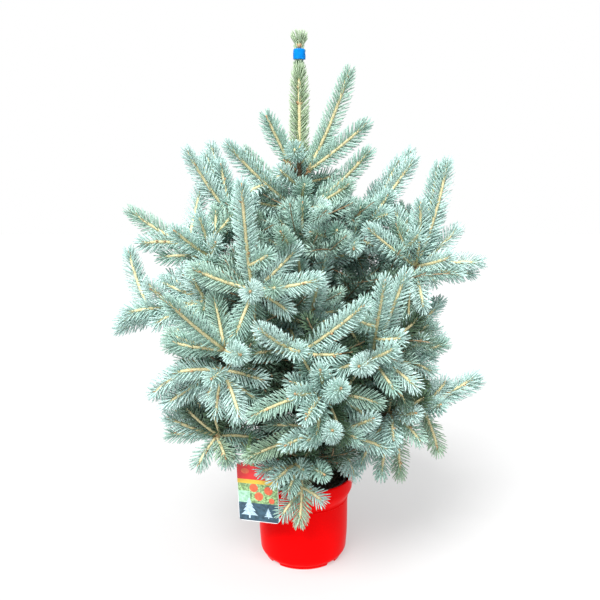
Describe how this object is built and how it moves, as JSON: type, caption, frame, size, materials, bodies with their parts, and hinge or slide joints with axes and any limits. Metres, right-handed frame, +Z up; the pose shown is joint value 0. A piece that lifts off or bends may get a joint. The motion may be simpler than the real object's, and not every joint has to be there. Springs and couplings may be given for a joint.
{
  "type": "potted blue spruce",
  "caption": "Young blue spruce in a round red plastic pot: bare trunk and boughs carrying upswept needled shoots, a straight leader with a tape band, a liner with peat and a hanging label",
  "frame": {"origin": "middle of the pot's flat underside, on the floor that it stands on", "axes": "+Z up along the pot's axis, +Y towards the back (the label hangs on the -Y side), +X to the right as seen from the label's side"},
  "size_m": [0.7553, 0.7139, 1.1013],
  "materials": {
    "bark": "rough brown bark",
    "needles": "silvery blue needles on cream twigs",
    "tape": "satin blue tape",
    "red_plastic": "glossy moulded plastic",
    "black_plastic": "matt moulded plastic",
    "peat": "damp crumbly peat",
    "printed_card": "printed plastic card"
  },
  "bodies": {
    "root": {"trunk": "bark", "bough_left_high": "bark", "bough_left_upper": "bark", "bough_front_upper": "bark", "bough_right_high": "bark", "bough_right_upper": "bark", "bough_left_middle": "bark", "bough_left_front": "bark", "bough_front_middle": "bark", "bough_right_front": "bark", "bough_right_middle": "bark", "bough_left_low_front": "bark", "bough_left_low": "bark", "bough_front_low": "bark", "bough_front_lower": "bark", "bough_right_low_front": "bark", "bough_right_low": "bark", "bough_middle_back_right": "bark", "bough_middle_back": "bark", "bough_middle_back_left": "bark", "bough_low_back_right": "bark", "bough_low_back_left": "bark", "shoots_top_left": "needles", "shoots_top_right": "needles", "shoots_upper_right": "needles", "shoots_upper_left": "needles", "shoots_upper_front": "needles", "shoots_top_back_left": "needles", "shoots_top_back_right": "needles", "shoots_upper_back": "needles", "shoots_left_high": "needles", "shoots_left_upper": "needles", "shoots_front_upper": "needles", "shoots_right_high": "needles", "shoots_right_upper": "needles", "shoots_left_middle": "needles", "shoots_left_front": "needles", "shoots_front_middle": "needles", "shoots_front_inner": "needles", "shoots_right_front": "needles", "shoots_right_middle": "needles", "shoots_left_low_front": "needles", "shoots_left_low": "needles", "shoots_front_low": "needles", "shoots_front_lower": "needles", "shoots_front_hanging": "needles", "shoots_right_low_front": "needles", "shoots_right_low": "needles", "shoots_middle_back_right": "needles", "shoots_middle_back": "needles", "shoots_middle_back_left": "needles", "shoots_low_back_right": "needles", "shoots_low_back_left": "needles", "shoot_leader": "needles", "leader_band": "tape", "outer_pot": "red_plastic", "inner_pot": "black_plastic", "potting_peat": "peat", "plant_label": "printed_card"}
  },
  "joints": []
}
